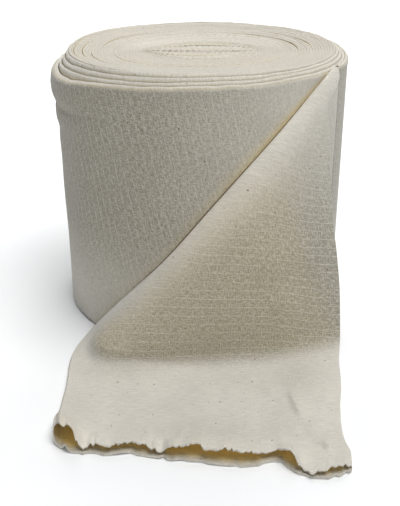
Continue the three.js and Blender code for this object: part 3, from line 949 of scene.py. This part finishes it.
hang_middles = np.zeros((HANG_ROWS + len(MOUTH_DEPTHS), COLUMNS + 1, 3))
from_mouth = np.zeros(hang_middles.shape[:2])
for number, across in enumerate(across_columns):
    line = hanging_line(across)
    length = np.concatenate([[0], np.cumsum(np.linalg.norm(np.diff(line, axis=0), axis=1))])
    whole = length[-1]
    depths = np.array(MOUTH_DEPTHS) * min(1, 0.7 * whole / MOUTH_DEPTHS[0])
    stops = np.concatenate([np.linspace(0, whole - depths[0], HANG_ROWS + 1)[:-1], whole - depths])
    from_mouth[:, number] = whole - stops
    for axis in range(3):
        hang_middles[:, number, axis] = np.interp(stops, length, line[:, axis])
from_fold = from_mouth[0] - from_mouth
to_right = ease(across_columns, 0.72, 1)
to_left = ease(1 - across_columns, 0.8, 1)
forward = -hang_middles[..., 1]
side_shift = column(RIGHT_SIDE, "height", "shift", hang_middles[..., 2])
side_forward = column(RIGHT_SIDE, "height", "forward", hang_middles[..., 2])
hang_middles[..., 0] += to_right * side_shift * ease(from_fold, 0, 15)
hang_middles[..., 1] -= to_right * side_forward * ease(from_fold, 0, 15)
on_floor = ease(3 - hang_middles[..., 2], 0, 2)
hang_middles[..., 0] += on_floor * to_right * column(RIGHT_FLOOR, "forward", "shift", forward)
hang_middles[..., 0] += on_floor * to_left * column(LEFT_FLOOR, "forward", "shift", forward)
hang_normals = cloth_normals(hang_middles)
puff = 3.4 * (1 - np.exp(-from_fold / 7)) * (1 - ease(from_fold, 15, 75))
puff = puff * ease(across_columns, 0, 0.15) * (1 - 0.5 * ease(across_columns, 0.8, 1))
turned_down = hang_middles[..., 2] / np.maximum(hang_middles[0, :, 2], 3)
share_hung = np.clip(1 - turned_down, 0, 1)
belly = column(FLAP, "across", "belly", across_columns) * np.sin(np.pi * share_hung**1.4)
puff = puff + np.maximum(belly, 0) * ease(hang_middles[..., 2], 1.2, 6)
hang_middles = hang_middles + hang_normals * puff[..., None]
hang_normals = cloth_normals(hang_middles)
print("flap length left, middle, right:", from_mouth[0, [0, COLUMNS // 2, COLUMNS]].round(1))

# %% [markdown]
# ## The opened mouth
# Knit that is cut curls, and it has no hem to hold it. So the upper ply rises from the lower one to
# the heights found above, its edge is jagged and drawn back, and the lower ply curls up a bit.
# Soft creases run back from the right corner and over the hanging cloth, each along its own line.

# %% The opened mouth
columns_x = hang_middles[-1, :, 0]
mouth_height = np.interp(columns_x, upper_x, upper_height)
broad = np.convolve(np.pad(mouth_height, 8, mode="edge"), np.ones(17) / 17, mode="valid")
broad_lift = np.maximum(broad - 0.9, 0)
sharp_lift = mouth_height - 0.9 - broad_lift
lift = broad_lift * ease(1 - from_mouth / 26) + sharp_lift * ease(1 - from_mouth / 9)
lift = np.maximum(lift, -0.05)
upper_reach = np.interp(columns_x, upper_x, edge_reach)
jag_at = across_columns * FLAT_WIDTH
jag = wander(5, jag_at, 0.7, 0.45) + wander(6, jag_at, 2.2, 0.3)
pull_back = -hang_middles[-1, :, 1] - upper_reach + jag
lower_curl = np.clip(0.15 + wander(7, jag_at, 5, 0.25), 0, 1)
lower_curl = lower_curl + 2.4 * np.exp(-(((columns_x + 51) / 1.0) ** 2))
curl = lower_curl * ease(1 - from_mouth / 4)
ripple = column(FLAP, "across", "ripple", across_columns)
share_down = 1 - from_mouth / from_mouth[0]
fullness = ripple * ease(share_down, 0.35, 0.6) * (1 - ease(share_down, 0.7, 0.95))

CREASES = [
    {"line": [(37.6, -92, 8), (36.6, -108, 2), (38, -116, 1), (39.7, -124, 1)], "height": 1.6, "width": 1.3},
    {"line": [(47, -93, 8), (44.7, -112, 1)], "height": -0.7, "width": 2.4},
    {"line": [(38.3, -128, 1), (43.9, -136, 1), (47, -140, 1), (48.1, -147, 1)],
     "height": 2.3, "width": 1.3},
    {"line": [(47, -126, 1), (51, -133, 1), (52.5, -144, 1)], "height": -0.7, "width": 2.2},
    {"line": [(18, -74, 44), (38, -72, 50), (58, -68, 53)], "height": 1.1, "width": 7, "open_end": True},
    {"line": [(26, -78, 27), (44, -77, 31), (60, -74, 31)], "height": 0.8, "width": 5, "open_end": True},
    {"line": [(34, -64, 78), (46, -62, 84), (58, -58, 87)], "height": 0.8, "width": 7, "open_end": True},
]
crease_height = np.maximum(soft_creases(hang_middles, CREASES), -0.7)
print("the mouth gapes up to", round(float(lift.max()), 1), "mm")

# %% [markdown]
# ## Rings round the loose end
# At every row a ring of points goes over the front, round the right edge, along the back and round the
# left edge. Behind the mouth the rings run back inside the tube, a ply's thickness within the others,
# so the mouth is a real hollow that takes real shadow.


# %% Rings round the loose end
def tube_ring(middle, normal, half, side_out):
    """A ring round cloth of this half thickness: front, right edge, back and left edge."""
    offset = normal * half[:, None]
    turn = np.radians(np.linspace(90, -90, EDGE_POINTS + 2)[1:-1])[:, None]
    edges = []
    for end, sign in ((-1, 1), (0, -1)):
        bulge = side_out[end] * EDGE_BULGE * np.linalg.norm(offset[end])
        edges.append(middle[end] + np.sin(sign * turn) * offset[end] + np.cos(turn) * bulge)
    return np.concatenate([middle + offset, edges[0], (middle - offset)[::-1], edges[1]])


def side_directions(middle):
    """Outward within the cloth at its left and right edges, as rows 0 and -1 of an array."""
    ways = np.zeros_like(middle)
    ways[0] = unit(middle[0] - middle[1])
    ways[-1] = unit(middle[-1] - middle[-2])
    return ways


loose_rings = []
for station in tail_rows + fold_rows:
    half = np.full(COLUMNS + 1, station["half"])
    ways = side_directions(station["middle"])
    loose_rings.append(tube_ring(station["middle"], station["normal"], half, ways))


def opened_ring(row, inside):
    """A ring round the hanging part, or round the space inside its mouth."""
    middle = hang_middles[row]
    normal = hang_normals[row]
    front = SHEET_THICKNESS / 2 + fullness[row] + crease_height[row]
    wall = PLY_THICKNESS if inside else 0
    if inside:
        front = np.where(front - wall > 0.1, front - wall, 0.3 * front)
    top = middle + normal * front[:, None]
    top[:, 2] += lift[row]
    top[:, 1] += pull_back * ease(1 - from_mouth[row] / 24)
    bottom = middle - normal * (SHEET_THICKNESS / 2 - wall)
    bottom[:, 2] += curl[row]
    top[:, 2] = np.maximum(top[:, 2], bottom[:, 2] + 0.06)
    half = np.linalg.norm(top - bottom, axis=1) / 2
    return tube_ring((top + bottom) / 2, unit(top - bottom), half, side_directions(middle))


for row in range(len(hang_middles)):
    loose_rings.append(opened_ring(row, False))
outside_rows = len(loose_rings)
for row in range(len(hang_middles) - 1, HANG_ROWS + 1, -1):
    loose_rings.append(opened_ring(row, True))
loose_rings = np.array(loose_rings)
print("rings round the loose end:", loose_rings.shape)

# %% [markdown]
# ## The knit on the loose end
# The pattern has to turn with the cloth, so each point gets its place along and across the tube. It
# also gets how much crinkle and painted shade it carries, which is most on the upright hanging part
# and least where it lies flat, and how much painted golden light it gets, which is most inside the
# mouth.

# %% Places on the cloth of the loose end
ring_across = np.concatenate([
    2 * FLAT_WIDTH - across_columns * FLAT_WIDTH,
    np.full(EDGE_POINTS, FLAT_WIDTH),
    across_columns[::-1] * FLAT_WIDTH,
    np.full(EDGE_POINTS, 0.0),
])
ring_column = np.concatenate([
    np.arange(COLUMNS + 1),
    np.full(EDGE_POINTS, COLUMNS),
    np.arange(COLUMNS, -1, -1),
    np.full(EDGE_POINTS, 0),
])
fold_along = np.radians(fold_angle(across_columns)) * ROLL_RADIUS
loose_cloth = np.zeros((*loose_rings.shape[:2], 6))
start_along = np.radians(START_ANGLE) * ROLL_RADIUS
hung_along = from_mouth + hang_middles[-1, :, 1] + 14
for number in range(outside_rows):
    if number < TAIL_ROWS:
        at = start_along + (fold_along - start_along) * number / TAIL_ROWS
    elif number < TAIL_ROWS + FOLD_ROWS:
        still_to_go = 1 - (number - TAIL_ROWS) / FOLD_ROWS
        at = hung_along[0] + np.pi * FOLD_RADIUS * still_to_go
    else:
        at = hung_along[number - TAIL_ROWS - FOLD_ROWS]
    slant = RIB_SLANT if number < TAIL_ROWS else HANGING_SLANT
    loose_cloth[number, :, 0] = at[ring_column] + slant * ring_across
    loose_cloth[number, :, 1] = ring_across
# A faint painted warm light low on the hanging part; then its crinkle and painted shade: most where it
# stands upright, less near the fold and high up, fading towards the mouth, and a little more to the right
loose_cloth[..., 2] = 0.1 * ease(-loose_rings[..., 1], 62, 76) * ease(loose_rings[..., 2], 3, 12)
above_floor = ease(loose_rings[..., 2], 1.5, 10) * (1.22 - 0.75 * ease(loose_rings[..., 2], 45, 112))
loose_cloth[..., 3] = 0.14 + 0.8 * above_floor
hung = slice(TAIL_ROWS + FOLD_ROWS, outside_rows)
loose_cloth[hung, :, 3] *= ease(from_fold[:, ring_column], -8, 24)
on_the_way = ease(from_mouth[:, ring_column], 36, 52)
loose_cloth[hung, :, 3] = 0.14 + (loose_cloth[hung, :, 3] - 0.14) * on_the_way
loose_cloth[hung, :, 3] *= 0.95 + 0.1 * ease(across_columns[ring_column], 0.4, 1)
loose_cloth[TAIL_ROWS : TAIL_ROWS + FOLD_ROWS, :, 3] = loose_cloth[TAIL_ROWS + FOLD_ROWS, :, 3]
for number in range(outside_rows, len(loose_rings)):
    row = len(hang_middles) - 1 - (number - outside_rows)
    at = hung_along[row]
    loose_cloth[number, :, 0] = at[ring_column] + HANGING_SLANT * ring_across
    loose_cloth[number, :, 1] = ring_across
    # Inside the mouth: painted golden light deeper in, and painted shade near the lower lip, fading deeper
    # in, both weaker at the left wall
    inner_glow = ease(from_mouth[row][ring_column], 0.3, 5.5)
    at_left_wall = np.exp(-(((loose_rings[number, :, 0] + 57) / 3.5) ** 2))
    shaded_lip = 0.6 * (1 - 0.8 * ease(from_mouth[row][ring_column], 1.5, 7))
    loose_cloth[number, :, 3] = shaded_lip * (1 - 0.6 * at_left_wall)
    loose_cloth[number, :, 2] = inner_glow * (1 - 0.6 * at_left_wall)
loose_mirror = 2 * COLUMNS + EDGE_POINTS + 1
loose_mesh = tube_mesh(loose_rings, loose_cloth, loose_mirror)
hanging_cloth = make_piece("hanging_cloth", [loose_mesh], knit, "loose_end")
